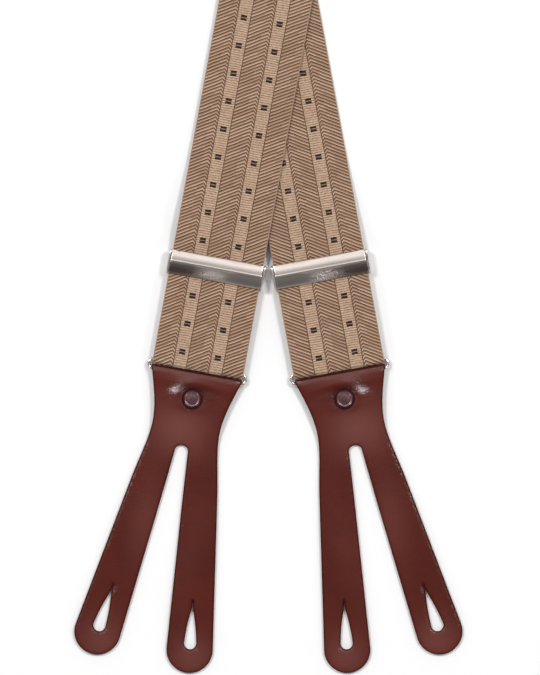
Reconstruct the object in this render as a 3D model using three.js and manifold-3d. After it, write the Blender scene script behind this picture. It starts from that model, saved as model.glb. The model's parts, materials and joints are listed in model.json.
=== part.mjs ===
// Button-on suspenders laid out flat at full length: two elastic front straps that cross above
// the adjusters, a leather yoke, a short back strap, and three forked leather button tabs.
// Millimetres. +Z is up, and +Y runs from the front tabs towards the back tab.
import * as THREE from "three";
import { mergeVertices } from "three/addons/utils/BufferGeometryUtils.js";
import Module from "manifold-3d";

const wasm = await Module();
wasm.setup();

// Webbing, and how the two front straps lie
const webWidth = 38;
const webThick = 1.2;
const tilt = THREE.MathUtils.degToRad(10.45);
const ringToCrossing = 162.1;
const bowRadius = 1800;
const strapOverStrap = 1.75;
const layerGap = 0.3;

// Rings: an oblong of round wire, one long side in the webbing and the other in the leather
const wireRadius = 0.7;
const barSpacing = 4.3;
const ringHalfLength = 21;
const webFoldInner = 1.0;
const webFoldOuter = webFoldInner + webThick;
const leatherFoldInner = 0.95;
const leatherFoldOuter = 1.95;
const ringHeight = webFoldOuter;
const upperBar = webFoldOuter + (barSpacing - webFoldOuter - leatherFoldOuter) / 2;
const lowerBar = upperBar - barSpacing;
const loopEnd = 6;

// Adjusters
const adjusterAt = 43;
const frontRun = 3.6;
const earInner = 19.35;
const earOuter = 20.2;
const leverHalfWidth = 19.05;
const pinRadius = 0.45;
const pinAt = { y: 3.9, z: 5.9 };
const sewnEnd = { from: 25.8, fold: 40.4, foldOuter: 1.75, foldInner: 0.55 };

// Leather tabs
const frontTabLean = THREE.MathUtils.degToRad(-0.85);
const leatherThick = 1.9;
const flapEnd = 19;
const rivetAt = 11.4;
const rivetHole = 1.7;
const rivetShank = 1.4;
const leg = { x: 19.4, y: -113.2, radius: 9.57, outer: 9.56, inner: 5.55 };
const hole = { tip: [17.1, -95.5], centre: [19.1, -110.5], radius: 2.5 };

// Yoke and back strap
const yokeFront = 558;
const yokeBack = 622;
const frontStrapsEnd = 585;
const backStrapFrom = 590;
const backRingAt = 727;
const yokeLayer = 1.5;
const inYoke = { lower: yokeLayer + layerGap, upper: yokeLayer + webThick + 2 * layerGap };

const colours = {
  webbing: { color: 0xa98a6c, roughness: 0.85, metalness: 0 },
  leather: { color: 0x59231b, roughness: 0.35, metalness: 0 },
  nickel: { color: 0xb9b6b2, roughness: 0.28, metalness: 1 },
  steel: { color: 0xa8a8a6, roughness: 0.25, metalness: 1 },
  rivet: { color: 0x3a2826, roughness: 0.4, metalness: 0.9 },
};

function mesh(name, geometry, colour) {
  const made = new THREE.Mesh(geometry, new THREE.MeshStandardMaterial(colours[colour]));
  made.name = name;
  return made;
}

// Solids for joining and cutting

function solid(geometry) {
  const bare = geometry.clone();
  bare.deleteAttribute("normal");
  bare.deleteAttribute("uv");
  const merged = mergeVertices(bare, 1e-4);
  return new wasm.Manifold(
    new wasm.Mesh({
      numProp: 3,
      vertProperties: new Float32Array(merged.attributes.position.array),
      triVerts: new Uint32Array(merged.index.array),
    }),
  );
}

function geometryOf(manifold) {
  const data = manifold.getMesh();
  const geometry = new THREE.BufferGeometry();
  geometry.setAttribute("position", new THREE.BufferAttribute(data.vertProperties, 3));
  geometry.setIndex(new THREE.BufferAttribute(data.triVerts, 1));
  return geometry;
}

// A box between two corners
function block(low, high) {
  const size = high.map((value, i) => value - low[i]);
  const centre = high.map((value, i) => (value + low[i]) / 2);
  return new THREE.BoxGeometry(...size).translate(...centre);
}

// A side view drawn in Y and Z, pushed out from one X to another
function across(shape, low, high) {
  const turned = new THREE.Matrix4().set(0, 0, 1, low, 1, 0, 0, 0, 0, 1, 0, 0, 0, 0, 0, 1);
  const settings = { depth: high - low, bevelEnabled: false, curveSegments: 8 };
  return new THREE.ExtrudeGeometry(shape, settings).applyMatrix4(turned);
}

// An outline drawn in X and Y, from one height to another
function plate(shape, low, high, curveSegments = 6) {
  const settings = { depth: high - low, bevelEnabled: false, curveSegments };
  return new THREE.ExtrudeGeometry(shape, settings).translate(0, 0, low);
}

function rodAlongX(radius, halfLength, y, z) {
  return new THREE.CylinderGeometry(radius, radius, 2 * halfLength, 12)
    .rotateZ(Math.PI / 2)
    .translate(0, y, z);
}

// A turned piece whose profile is drawn as [radius, height] from the bottom to the top
function turned(profile) {
  const points = profile.map(([radius, height]) => new THREE.Vector2(radius, height));
  return new THREE.LatheGeometry(points, 20).rotateX(Math.PI / 2);
}

function outline(points) {
  return new THREE.Shape(points.map(([x, y]) => new THREE.Vector2(x, y)));
}

// Front straps

// Where a front strap runs in plan: straight from the ring to the crossing, then one long bow
function planAt(along) {
  const past = along - ringToCrossing;
  if (past <= 0) return { x: past * Math.sin(tilt), y: past * Math.cos(tilt), heading: tilt };
  const heading = tilt - past / bowRadius;
  return {
    x: bowRadius * (Math.cos(heading) - Math.cos(tilt)),
    y: bowRadius * (Math.sin(tilt) - Math.sin(heading)),
    heading,
  };
}

// How far along a strap the point of its bow at this Y is
function alongAtY(y) {
  return ringToCrossing + bowRadius * (tilt - Math.asin(Math.sin(tilt) - y / bowRadius));
}

const atYoke = alongAtY(yokeFront);
const ease = THREE.MathUtils.smoothstep;

// The underside of the strap that lies on the floor
function lowerHeight(along) {
  const fromLoop = (ringHeight + webFoldInner - frontRun) * (1 - ease(along, loopEnd, 34));
  const down = frontRun * (1 - ease(along, 44, 96));
  const up = inYoke.lower * ease(along, atYoke - 60, atYoke - 4);
  return fromLoop + down + up;
}

// The underside of the strap that lies over it at the crossing and in the yoke
function upperHeight(along) {
  const crossing = ease(along, 46, 55) * (1 - ease(along, 306, 360));
  const back = ease(along, atYoke - 110, atYoke - 72);
  const seat = (inYoke.upper - inYoke.lower - strapOverStrap) * ease(along, atYoke - 40, atYoke);
  return lowerHeight(along) + strapOverStrap * (crossing + back) + seat;
}

function strapStations() {
  const stations = [loopEnd + layerGap, 15, 24, 34, 44, 47, 50, 53, 56, 62, 68, 74, 80, 88, 97];
  for (let along = 125; along < 290; along += 33) stations.push(along);
  for (let along = 304; along < 370; along += 12) stations.push(along);
  for (let along = 410; along < atYoke - 120; along += 45) stations.push(along);
  for (let along = atYoke - 112; along < atYoke + 1; along += 12) stations.push(along);
  return [...stations, alongAtY(frontStrapsEnd)];
}

function strapGeometry(heightAt) {
  const stations = strapStations();
  const position = [];
  for (const along of stations) {
    const { x, y, heading } = planAt(along);
    for (const [side, lift] of [[-1, 0], [1, 0], [1, webThick], [-1, webThick]]) {
      const out = (side * webWidth) / 2;
      position.push(x + out * Math.cos(heading), y - out * Math.sin(heading), heightAt(along) + lift);
    }
  }
  const index = [];
  const quad = (a, b, c, d) => index.push(a, b, c, a, c, d);
  for (let at = 0; at < 4 * stations.length - 4; at += 4) {
    for (let k = 0; k < 4; k += 1) {
      const next = (k + 1) % 4;
      quad(at + k, at + 4 + k, at + 4 + next, at + next);
    }
  }
  const last = 4 * stations.length - 4;
  quad(0, 1, 2, 3);
  quad(last + 3, last + 2, last + 1, last);
  const geometry = new THREE.BufferGeometry();
  geometry.setAttribute("position", new THREE.Float32BufferAttribute(position, 3));
  geometry.setIndex(index);
  return geometry;
}

// The webbing's fold round the ring, open towards the strap
function loopGeometry() {
  const shape = outline([
    [loopEnd, webThick],
    [loopEnd, 0],
    [upperBar, 0],
  ]);
  shape.absarc(upperBar, ringHeight, webFoldOuter, -Math.PI / 2, Math.PI / 2, true);
  shape.lineTo(loopEnd, ringHeight + webFoldOuter);
  shape.lineTo(loopEnd, ringHeight + webFoldInner);
  shape.absarc(upperBar, ringHeight, webFoldInner, Math.PI / 2, -Math.PI / 2, false);
  return across(shape, -webWidth / 2, webWidth / 2);
}

// The layer that runs back up under the front run
function returnGeometry() {
  const half = webWidth / 2;
  return block([-half, loopEnd + layerGap, 0], [half, sewnEnd.from - layerGap, webThick]);
}

// The end of the webbing, folded over the adjuster's lower bar and sewn down on itself
function strapEndGeometry() {
  const { from, fold, foldOuter, foldInner } = sewnEnd;
  const shape = outline([
    [from, 2 * webThick],
    [from, 0],
    [fold, 0],
  ]);
  shape.absarc(fold, foldOuter, foldOuter, -Math.PI / 2, Math.PI / 2, false);
  shape.lineTo(fold - 2.6, 2 * foldOuter - 0.15);
  shape.lineTo(fold - 5.5, 2 * webThick + 0.1);
  const eye = new THREE.Path([new THREE.Vector2(fold - 2.6, foldOuter)]);
  eye.lineTo(fold - 1.9, foldOuter - foldInner);
  eye.absarc(fold, foldOuter, foldInner, -Math.PI / 2, Math.PI / 2, false);
  eye.lineTo(fold - 1.9, foldOuter + foldInner);
  shape.holes.push(eye);
  return across(shape, -webWidth / 2, webWidth / 2);
}

// Adjusters, drawn about their own middle

function adjusterFrameGeometry() {
  const ear = outline([
    [-5.2, 1.2],
    [-4.6, 0.9],
    [4.2, 0.9],
    [4.8, 1.6],
    [5, 5.6],
    [4.8, 6.4],
    [4.1, 6.9],
    [3, 6.9],
    [-4.2, 6.2],
    [-5.2, 5.5],
  ]);
  const lowerBarBlock = block([-earInner - 0.4, -4.3, 1.35], [earInner + 0.4, -2.5, 2.15]);
  const upperBarBlock = block([-earInner - 0.4, 1, 2.3], [earInner + 0.4, 4.6, 3.2]);
  const pinHole = solid(rodAlongX(pinRadius + 0.2, 2 * earOuter, pinAt.y, pinAt.z));
  return geometryOf(
    solid(across(ear, earInner, earOuter))
      .add(solid(across(ear, -earOuter, -earInner)))
      .add(solid(lowerBarBlock))
      .add(solid(upperBarBlock))
      .subtract(pinHole),
  );
}

// The front plate with its gripping lip and the barrel that turns on the pin
function leverGeometry() {
  const shape = outline([
    [2.7, 5.6],
    [2.55, 4.95],
    [2.1, 4.95],
    [1.7, 5.75],
    [0.4, 6.1],
    [-2.4, 5.75],
    [-4, 5.3],
    [-4.6, 4.95],
    [-4.95, 5.2],
    [-4.7, 5.85],
    [-2.6, 6.55],
    [0.3, 7],
    [2.4, 7.02],
  ]);
  shape.absarc(pinAt.y, pinAt.z, 1.05, Math.PI / 2, -Math.PI / 2, true);
  const body = solid(across(shape, -leverHalfWidth, leverHalfWidth));
  return geometryOf(body.subtract(solid(rodAlongX(pinRadius + 0.2, 2 * earOuter, pinAt.y, pinAt.z))));
}

// Rings, drawn about their own middle: the wire's section at stations round the oblong
function ringGeometry() {
  const sides = 8;
  const turns = 6;
  const corner = barSpacing / 2;
  const straight = ringHalfLength - wireRadius - corner;
  const position = [];
  for (const [end, start] of [[straight, -Math.PI / 2], [-straight, Math.PI / 2]]) {
    for (let i = 0; i <= turns; i += 1) {
      const turn = start + (i / turns) * Math.PI;
      for (let k = 0; k < sides; k += 1) {
        const round = ((k + 0.5) / sides) * 2 * Math.PI;
        const reach = corner + wireRadius * Math.cos(round);
        position.push(end + reach * Math.cos(turn), reach * Math.sin(turn), wireRadius * Math.sin(round));
      }
    }
  }
  const index = [];
  const stations = 2 * (turns + 1);
  for (let i = 0; i < stations; i += 1) {
    const a = i * sides;
    const b = ((i + 1) % stations) * sides;
    for (let k = 0; k < sides; k += 1) {
      const next = (k + 1) % sides;
      index.push(a + k, b + k, b + next, a + k, b + next, a + next);
    }
  }
  const geometry = new THREE.BufferGeometry();
  geometry.setAttribute("position", new THREE.Float32BufferAttribute(position, 3));
  geometry.setIndex(index);
  return geometry;
}

// Leather tabs, drawn with the folded top edge at Y = 0 and the legs towards -Y

// From above the top edge round the right leg to the top of the slot
function tabHalf() {
  const outer = THREE.MathUtils.degToRad(leg.outer);
  const inner = THREE.MathUtils.degToRad(leg.inner);
  const shape = new THREE.Shape();
  shape.moveTo(0, 1);
  shape.lineTo(19, 1);
  shape.lineTo(19, -0.5);
  shape.bezierCurveTo(17.2, -7, 14.3, -15, 14.1, -22.5);
  shape.bezierCurveTo(13.9, -30, 16.4, -38, 18.3, -49);
  shape.absarc(leg.x, leg.y, leg.radius, outer, inner - Math.PI, true);
  shape.lineTo(4.5, -55);
  shape.bezierCurveTo(3.9, -48, 3.3, -41, 2.75, -34);
  shape.absarc(0, -33.6, 2.75, 0, Math.PI / 2, false);
  return shape;
}

function tabOutline() {
  const right = tabHalf().getPoints(6);
  const left = right.map(({ x, y }) => new THREE.Vector2(-x, y)).reverse();
  return new THREE.Shape([...right.slice(1), ...left.slice(1, -1)]);
}

function buttonhole(side) {
  const tip = new THREE.Vector2(side * hole.tip[0], hole.tip[1]);
  const centre = new THREE.Vector2(side * hole.centre[0], hole.centre[1]);
  const down = centre.clone().sub(tip).normalize();
  const out = Math.atan2(-down.x, down.y) + Math.PI;
  const lean = 0.09;
  const shape = new THREE.Shape();
  shape.absarc(centre.x, centre.y, hole.radius, out + Math.PI - lean, out + lean, false);
  shape.lineTo(tip.x, tip.y);
  return shape;
}

// The leather from the side: folded over the ring, its flap riveted behind the front layer
function tabSide() {
  const folded = outline([
    [lowerBar, ringHeight - leatherFoldOuter],
    [-6, 0.85],
    [-flapEnd, 0.85],
    [-flapEnd - 0.6, 1.75],
    [-23, 1.1],
    [-27, 0.35],
    [-31, 0],
    [-126, 0],
    [-126, leatherThick],
    [-31, leatherThick],
    [-27, 2.25],
    [-23, 3],
    [-flapEnd, 3.65],
    [-15, 3.75],
    [-8, 3.75],
    [-4.8, 4],
  ]);
  folded.lineTo(lowerBar, ringHeight + leatherFoldOuter);
  folded.absarc(lowerBar, ringHeight, leatherFoldOuter, Math.PI / 2, -Math.PI / 2, true);
  const eye = new THREE.Path([new THREE.Vector2(-4.8, ringHeight)]);
  eye.lineTo(lowerBar, ringHeight - leatherFoldInner);
  eye.absarc(lowerBar, ringHeight, leatherFoldInner, -Math.PI / 2, Math.PI / 2, false);
  folded.holes.push(eye);
  return folded;
}

// The folded leather cut to its outline and punched; the legs may lean a little to one side
function tabGeometry(lean) {
  const cut = (shape) => solid(plate(shape, -1, 8).rotateZ(lean));
  const rivet = new THREE.CylinderGeometry(rivetHole, rivetHole, 20, 16);
  rivet.rotateX(Math.PI / 2).translate(0, -rivetAt, 0);
  return geometryOf(
    solid(across(tabSide(), -40, 40))
      .intersect(cut(tabOutline()))
      .subtract(cut(buttonhole(-1)))
      .subtract(cut(buttonhole(1)))
      .subtract(solid(rivet)),
  );
}

function rivetCapGeometry() {
  return turned([
    [0, 0.95],
    [rivetShank, 0.95],
    [rivetShank, 4.05],
    [4.1, 4.05],
    [4.15, 4.3],
    [3.8, 4.75],
    [2.5, 5.1],
    [0, 5.2],
  ]).translate(0, -rivetAt, 0);
}

function rivetBackGeometry() {
  return turned([
    [0, 0],
    [3.3, 0],
    [3.6, 0.2],
    [3.6, 0.4],
    [3.3, 0.6],
    [0, 0.6],
  ]).translate(0, -rivetAt, 0);
}

// Yoke and back strap

function yokeOutline() {
  const shape = new THREE.Shape();
  shape.moveTo(0, yokeFront);
  shape.lineTo(35, yokeFront + 4.6);
  shape.quadraticCurveTo(37, yokeFront + 4.9, 36.9, yokeFront + 7);
  shape.bezierCurveTo(36.3, yokeFront + 24, 31.5, yokeFront + 42, 22.6, yokeBack - 2.6);
  shape.quadraticCurveTo(21.6, yokeBack, 19.6, yokeBack);
  const right = shape.getPoints(5);
  const left = right.map(({ x, y }) => new THREE.Vector2(-x, y)).reverse();
  return new THREE.Shape([...right, ...left.slice(0, -1)]);
}

// The back strap from the side, from its fold round the back ring to its end in the yoke
function backStrapGeometry() {
  const end = backRingAt - backStrapFrom;
  const mouth = backRingAt - yokeBack;
  const shape = outline([
    [24, webThick],
    [24, 0],
    [upperBar, 0],
  ]);
  shape.absarc(upperBar, ringHeight, webFoldOuter, -Math.PI / 2, Math.PI / 2, true);
  const over = [
    [6, 4.3],
    [14, 2.8],
    [25, 2.45],
    [36, webThick],
    [mouth - 24, webThick],
    [mouth - 4, inYoke.lower + webThick],
    [end, inYoke.lower + webThick],
    [end, inYoke.lower],
    [mouth - 3.4, inYoke.lower],
    [mouth - 23.4, 0],
    [35.5, 0],
    [26, webThick],
  ];
  over.forEach(([y, z]) => shape.lineTo(y, z));
  const eye = new THREE.Path([new THREE.Vector2(13, webThick + 0.1)]);
  eye.lineTo(6, ringHeight + webFoldInner - 0.15);
  eye.absarc(upperBar, ringHeight, webFoldInner, Math.PI / 2, -Math.PI / 2, false);
  shape.holes.push(eye);
  return across(shape, -webWidth / 2, webWidth / 2);
}

// Assembly

// A ring, and the leather tab that hangs on it
function ringAndTab(side, lean) {
  const group = new THREE.Group();
  const ring = mesh(`${side}_ring`, ringGeometry(), "steel");
  ring.position.set(0, (upperBar + lowerBar) / 2, ringHeight);
  group.add(
    ring,
    mesh(`${side}_tab`, tabGeometry(lean), "leather"),
    mesh(`${side}_rivet_cap`, rivetCapGeometry(), "rivet"),
    mesh(`${side}_rivet_back`, rivetBackGeometry(), "rivet"),
  );
  return group;
}

function adjuster(side) {
  const group = new THREE.Group();
  group.position.y = adjusterAt;
  group.add(
    mesh(`${side}_adjuster_frame`, adjusterFrameGeometry(), "nickel"),
    mesh(`${side}_adjuster_lever`, leverGeometry(), "nickel"),
    mesh(`${side}_adjuster_pin`, rodAlongX(pinRadius, earOuter + 0.1, pinAt.y, pinAt.z), "steel"),
  );
  return group;
}

// One front side, drawn for the left; the right is its mirror image
function frontSide(side, heightAt) {
  const end = new THREE.Group();
  const { x, y } = planAt(0);
  end.position.set(x, y, 0);
  end.rotation.z = -tilt;
  end.add(
    mesh(`${side}_strap_loop`, loopGeometry(), "webbing"),
    mesh(`${side}_return_strap`, returnGeometry(), "webbing"),
    mesh(`${side}_strap_end`, strapEndGeometry(), "webbing"),
    adjuster(side),
    ringAndTab(side, frontTabLean),
  );
  const group = new THREE.Group();
  group.add(mesh(`${side}_strap`, strapGeometry(heightAt), "webbing"), end);
  return group;
}

function backEnd() {
  const strapAndTab = new THREE.Group();
  strapAndTab.position.y = backRingAt;
  strapAndTab.rotation.z = Math.PI;
  strapAndTab.add(mesh("back_strap", backStrapGeometry(), "webbing"), ringAndTab("back", 0));
  const group = new THREE.Group();
  const top = inYoke.upper + webThick + layerGap;
  group.add(
    mesh("yoke_back", plate(yokeOutline(), 0, yokeLayer), "leather"),
    mesh("yoke_front", plate(yokeOutline(), top, top + yokeLayer), "leather"),
    strapAndTab,
  );
  return group;
}

const laidOut = new THREE.Group();
const right = frontSide("right", lowerHeight);
right.scale.x = -1;
laidOut.add(frontSide("left", upperHeight), right, backEnd());

// The origin is on the floor, under the middle of the length
const box = new THREE.Box3().setFromObject(laidOut, true);
laidOut.position.y = -(box.min.y + box.max.y) / 2;

const suspenders = new THREE.Group();
suspenders.add(laidOut);

export default suspenders;
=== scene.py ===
import json
import math
from contextlib import contextmanager

import bpy
import numpy as np
from mathutils import Matrix, Vector
from mathutils.geometry import delaunay_2d_cdt


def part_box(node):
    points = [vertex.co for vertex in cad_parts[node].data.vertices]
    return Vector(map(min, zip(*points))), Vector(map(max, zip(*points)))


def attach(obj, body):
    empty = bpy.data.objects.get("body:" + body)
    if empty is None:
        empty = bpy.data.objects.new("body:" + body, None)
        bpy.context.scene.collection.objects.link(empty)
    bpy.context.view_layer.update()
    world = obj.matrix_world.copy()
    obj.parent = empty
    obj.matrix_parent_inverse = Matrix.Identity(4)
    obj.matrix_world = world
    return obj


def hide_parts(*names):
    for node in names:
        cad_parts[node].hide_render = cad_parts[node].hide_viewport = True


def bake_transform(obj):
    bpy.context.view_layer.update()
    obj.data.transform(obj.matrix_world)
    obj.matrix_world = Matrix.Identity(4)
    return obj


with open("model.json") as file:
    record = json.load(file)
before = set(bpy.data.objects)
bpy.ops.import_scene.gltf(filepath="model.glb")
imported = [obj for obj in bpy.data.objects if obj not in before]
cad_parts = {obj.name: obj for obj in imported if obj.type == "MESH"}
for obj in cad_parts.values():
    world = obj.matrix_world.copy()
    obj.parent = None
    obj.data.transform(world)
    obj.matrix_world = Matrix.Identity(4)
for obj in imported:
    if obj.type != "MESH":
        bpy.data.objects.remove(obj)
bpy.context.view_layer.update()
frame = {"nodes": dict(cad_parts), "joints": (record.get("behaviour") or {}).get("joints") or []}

print("Frame loaded:", len(frame["nodes"]), "nodes")
mm = 0.001

# Where the moving parts sit, from the joints of the frame
joints = {joint["name"]: joint for joint in frame["joints"]}
slideAxis = Vector(joints["left_length_slide"]["axis"])
upperBarPlace = Vector(joints["left_ring_hinge"]["pos_m"])
lowerBarPlace = Vector(joints["left_tab_hinge"]["pos_m"])
pinPlace = Vector(joints["left_lever_hinge"]["pos_m"])
backBarPlace = Vector(joints["back_ring_hinge"]["pos_m"])
tilt = math.atan2(slideAxis.x, slideAxis.y)
ringHeight = upperBarPlace.z
barSpacing = (upperBarPlace - lowerBarPlace).length

ringSizes = {"wire": 0.7 * mm, "halfLength": 21 * mm, "webSide": 2.275 * mm}
lowerBar = ringSizes["webSide"] - barSpacing
upperBar = ringSizes["webSide"]

# A front end is drawn upright about its ring line, the left one, and then laid in place
endPlace = upperBarPlace - slideAxis * upperBar
endPlace.z = 0
endMatrix = Matrix.Translation(endPlace) @ Matrix.Rotation(-tilt, 4, "Z")
backPlace = backBarPlace + Vector((0, upperBar, 0))
backPlace.z = 0
backMatrix = Matrix.Translation(backPlace) @ Matrix.Rotation(math.pi, 4, "Z")


def clearSelection():
    if bpy.context.mode != "OBJECT":
        bpy.ops.object.mode_set(mode="OBJECT")
    bpy.ops.object.select_all(action="DESELECT")


def only(obj):
    clearSelection()
    obj.select_set(True)
    bpy.context.view_layer.objects.active = obj
    return obj


@contextmanager
def editing(obj):
    only(obj)
    bpy.ops.object.mode_set(mode="EDIT")
    bpy.ops.mesh.select_all(action="SELECT")
    yield
    bpy.ops.object.mode_set(mode="OBJECT")


def linked(name, data):
    obj = bpy.data.objects.new(name, data)
    bpy.context.scene.collection.objects.link(obj)
    return obj


def named(name):  # the object an operator has just made
    obj = bpy.context.active_object
    obj.name = obj.data.name = name
    return obj


def settled(obj):  # its place goes into its mesh, and the object back to the origin
    only(obj)
    bpy.ops.object.transform_apply(location=True, rotation=True, scale=True)
    return obj


def placed(obj, matrix):
    obj.matrix_world = matrix @ obj.matrix_world
    return settled(obj)


def applied(obj, kind, **values):
    only(obj)
    modifier = obj.modifiers.new(kind.title(), kind)
    for name, value in values.items():
        setattr(modifier, name, value)
    bpy.ops.object.modifier_apply(modifier=modifier.name)
    return obj


def facingOut(obj):
    with editing(obj):
        bpy.ops.mesh.normals_make_consistent(inside=False)
    return obj


def smoothed(obj, degrees=35):
    only(obj)
    bpy.ops.object.shade_smooth_by_angle(angle=math.radians(degrees))
    return obj


def copied(obj, name):
    only(obj)
    bpy.ops.object.duplicate()
    return named(name)


mirror = Matrix.Diagonal((-1, 1, 1, 1))


def mirrored(obj, name):
    return facingOut(placed(copied(obj, name), mirror))


def joined(objs, name):
    only(objs[0])
    for obj in objs:
        obj.select_set(True)
    bpy.ops.object.join()
    return named(name)


def valuesOf(items, name, width=1, kind=float):
    flat = np.empty(width * len(items), kind)
    items.foreach_get(name, flat)
    return flat.reshape(-1, width) if width > 1 else flat


def coordinates(mesh):
    return valuesOf(mesh.vertices, "co", 3)


def setCoordinates(mesh, co):
    mesh.vertices.foreach_set("co", np.asarray(co, float).ravel())
    mesh.update()


def attribute(mesh, name, values):
    mesh.attributes.new(name, "FLOAT", "POINT").data.foreach_set("value", values)


def patternMap(mesh, name, places):  # each corner's place on the pattern is that of its vertex
    layer = mesh.uv_layers.active or mesh.uv_layers.new()
    layer.name = name
    layer.data.foreach_set("uv", places[valuesOf(mesh.loops, "vertex_index", kind=int)].ravel())


def ease(value, low, high):
    t = np.clip((value - low) / (high - low), 0, 1)
    return t * t * (3 - 2 * t)


def arcPoints(centre, radius, fromDegrees, toDegrees, count):
    turns = np.radians(np.linspace(fromDegrees, toDegrees, count))
    return [(centre[0] + radius * math.cos(t), centre[1] + radius * math.sin(t)) for t in turns]


def closeSpaced(points, step, counted=math.ceil):  # more points in between, about a step apart
    made = []
    for first, second in zip(points, points[1:]):
        count = max(1, counted(math.hypot(second[0] - first[0], second[1] - first[1]) / step))
        made += [tuple(a + (b - a) * k / count for a, b in zip(first, second)) for k in range(count)]
    return made + [tuple(points[-1])]


# Materials

def linear(red, green, blue):
    def channel(value):
        value = value / 255
        return value / 12.92 if value <= 0.04045 else ((value + 0.055) / 1.055) ** 2.4
    return (channel(red), channel(green), channel(blue), 1)


def newMaterial(name):
    mat = bpy.data.materials.new(name)
    mat.use_nodes = True
    return mat, mat.node_tree


def plug(socket, value):
    if isinstance(value, bpy.types.NodeSocket):
        socket.id_data.links.new(value, socket)
    else:
        socket.default_value = value


def shaded(mat, values):
    shader = mat.node_tree.nodes["Principled BSDF"]
    for name, value in values.items():
        plug(shader.inputs[name], value)
    return mat


def node(tree, kind, **values):
    made = tree.nodes.new(kind)
    for name, value in values.items():
        socket = made.inputs.get(name.replace("_", " ").title())
        if socket is not None:
            plug(socket, value)
        else:
            setattr(made, name, value)
    return made


def attributeOf(tree, name):
    return node(tree, "ShaderNodeAttribute", attribute_name=name).outputs["Fac"]


def mapped(tree, source="Object", scale=(1, 1, 1)):  # Object coordinates, or a mesh's own map, at a scale
    if source == "Object":
        start = node(tree, "ShaderNodeTexCoord").outputs["Object"]
    else:
        start = node(tree, "ShaderNodeUVMap", uv_map=source).outputs["UV"]
    return node(tree, "ShaderNodeMapping", vector=start, scale=scale).outputs["Vector"]


def noise(tree, vector, scale, detail=3, roughness=0.5):
    made = node(tree, "ShaderNodeTexNoise", vector=vector, scale=scale, detail=detail, roughness=roughness)
    return made.outputs["Fac"]


def remapped(tree, value, low, high, toLow=0, toHigh=1):
    made = node(tree, "ShaderNodeMapRange", value=value, from_min=low, from_max=high, to_min=toLow, to_max=toHigh)
    return made.outputs["Result"]


def blendOf(tree, factor, first, second):
    made = node(tree, "ShaderNodeMix", data_type="RGBA")
    for name, value in (("Factor_Float", factor), ("A_Color", first), ("B_Color", second)):
        plug(next(s for s in made.inputs if s.identifier == name), value)
    return next(s for s in made.outputs if s.identifier == "Result_Color")


def combined(tree, operation, first, second):
    made = node(tree, "ShaderNodeMath", operation=operation)
    plug(made.inputs[0], first)
    plug(made.inputs[1], second)
    return made.outputs[0]


def bumps(tree, height, strength, distance):  # for the surface and for its coat
    made = node(tree, "ShaderNodeBump", height=height, strength=strength, distance=distance).outputs["Normal"]
    return {"Normal": made, "Coat Normal": made}


def yarnMaterial(name, colour):
    mat, tree = newMaterial(name)
    cloud = noise(tree, mapped(tree, "flat"), 900)
    fibres = noise(tree, mapped(tree, "flat", (1, 2.6, 1)), 3200, 2, 0.6)
    return shaded(mat, {
        "Base Color": linear(*colour), "Sheen Weight": 0.12, "Sheen Roughness": 0.5, "Specular IOR Level": 0.3,
        "Roughness": remapped(tree, cloud, 0.3, 0.7, 0.68, 0.92), **bumps(tree, fibres, 0.5, 0.08 * mm)})


# Webbing: one repeat of the pattern is modelled flat, repeated, trimmed, and laid along its run

webbing = {
    "width": 38 * mm,
    "thick": 1.2 * mm,
    "repeat": 11.7 * mm,      # from one pair of dashes to the next
    "rows": 24,               # 8 twill ribs of 3 rows, or 12 stripe ribs of 2
    "dashRows": (10, 11, 13, 14),
    "dashMiddle": 12.4,       # in rows
    "firstDash": 7.1 * mm,    # above the ring line
    "relief": 0.13 * mm,
    "narrowed": 0.24,         # how much of a row every second stripe rib gives up
    "wander": 0.022 * mm,
    "waves": 0.05 * mm,
    "weld": 0.001 * mm,
    "seed": 4,
}
rowSize = webbing["repeat"] / webbing["rows"]
halfWidth, halfThick = webbing["width"] / 2, webbing["thick"] / 2
plainWeave = ("stripe", "dash")
# Across the webbing from its left edge: what is woven, its width in mm, columns, and rows it climbs
bands = [
    ("selvedge", 0.35, 1, 0), ("twill", 7.15, 3, 9), ("twill", 0.95, 1, -2), ("outline", 0.4, 2, 0),
    ("stripe", 1.3, 2, 0), ("dash", 2.6, 4, 0), ("stripe", 1.3, 2, 0), ("outline", 0.4, 2, 0),
    ("twill", 8.0, 3, 10), ("twill", 0.95, 1, -2), ("outline", 0.4, 2, 0),
    ("stripe", 1.3, 2, 0), ("dash", 2.6, 4, 0), ("stripe", 1.3, 2, 0), ("outline", 0.4, 2, 0),
    ("twill", 8.25, 3, 10), ("selvedge", 0.35, 1, 0),
]
yarns = {  # each yarn in a few shades, so that no two ribs match
    "tan": [(186, 155, 131), (177, 146, 122), (192, 162, 139), (171, 139, 115)],
    "shade": [(139, 109, 87), (130, 100, 79)],
    "brown": [(86, 59, 42), (77, 51, 36), (95, 67, 49)],
    "light": [(184, 155, 131), (178, 149, 125), (172, 143, 119), (189, 161, 138)],
    # rib: the narrow flank of each stripe rib, painted darker as shade
    "rib": [(142, 113, 91), (128, 100, 79), (154, 125, 103)],
    "line": [(102, 74, 57), (118, 90, 71), (90, 63, 47)],
    "dash": [(28, 14, 10)],
    "edge": [(158, 131, 110)],
    "back": [(134, 107, 88)],
}
yarnSlots = {}
yarnMaterials = []
for yarnName, shades in yarns.items():
    yarnSlots[yarnName] = (len(yarnMaterials), len(shades))
    for number, shade in enumerate(shades):
        yarnMaterials.append(yarnMaterial(f"{yarnName}Yarn{number + 1}", shade))


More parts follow.
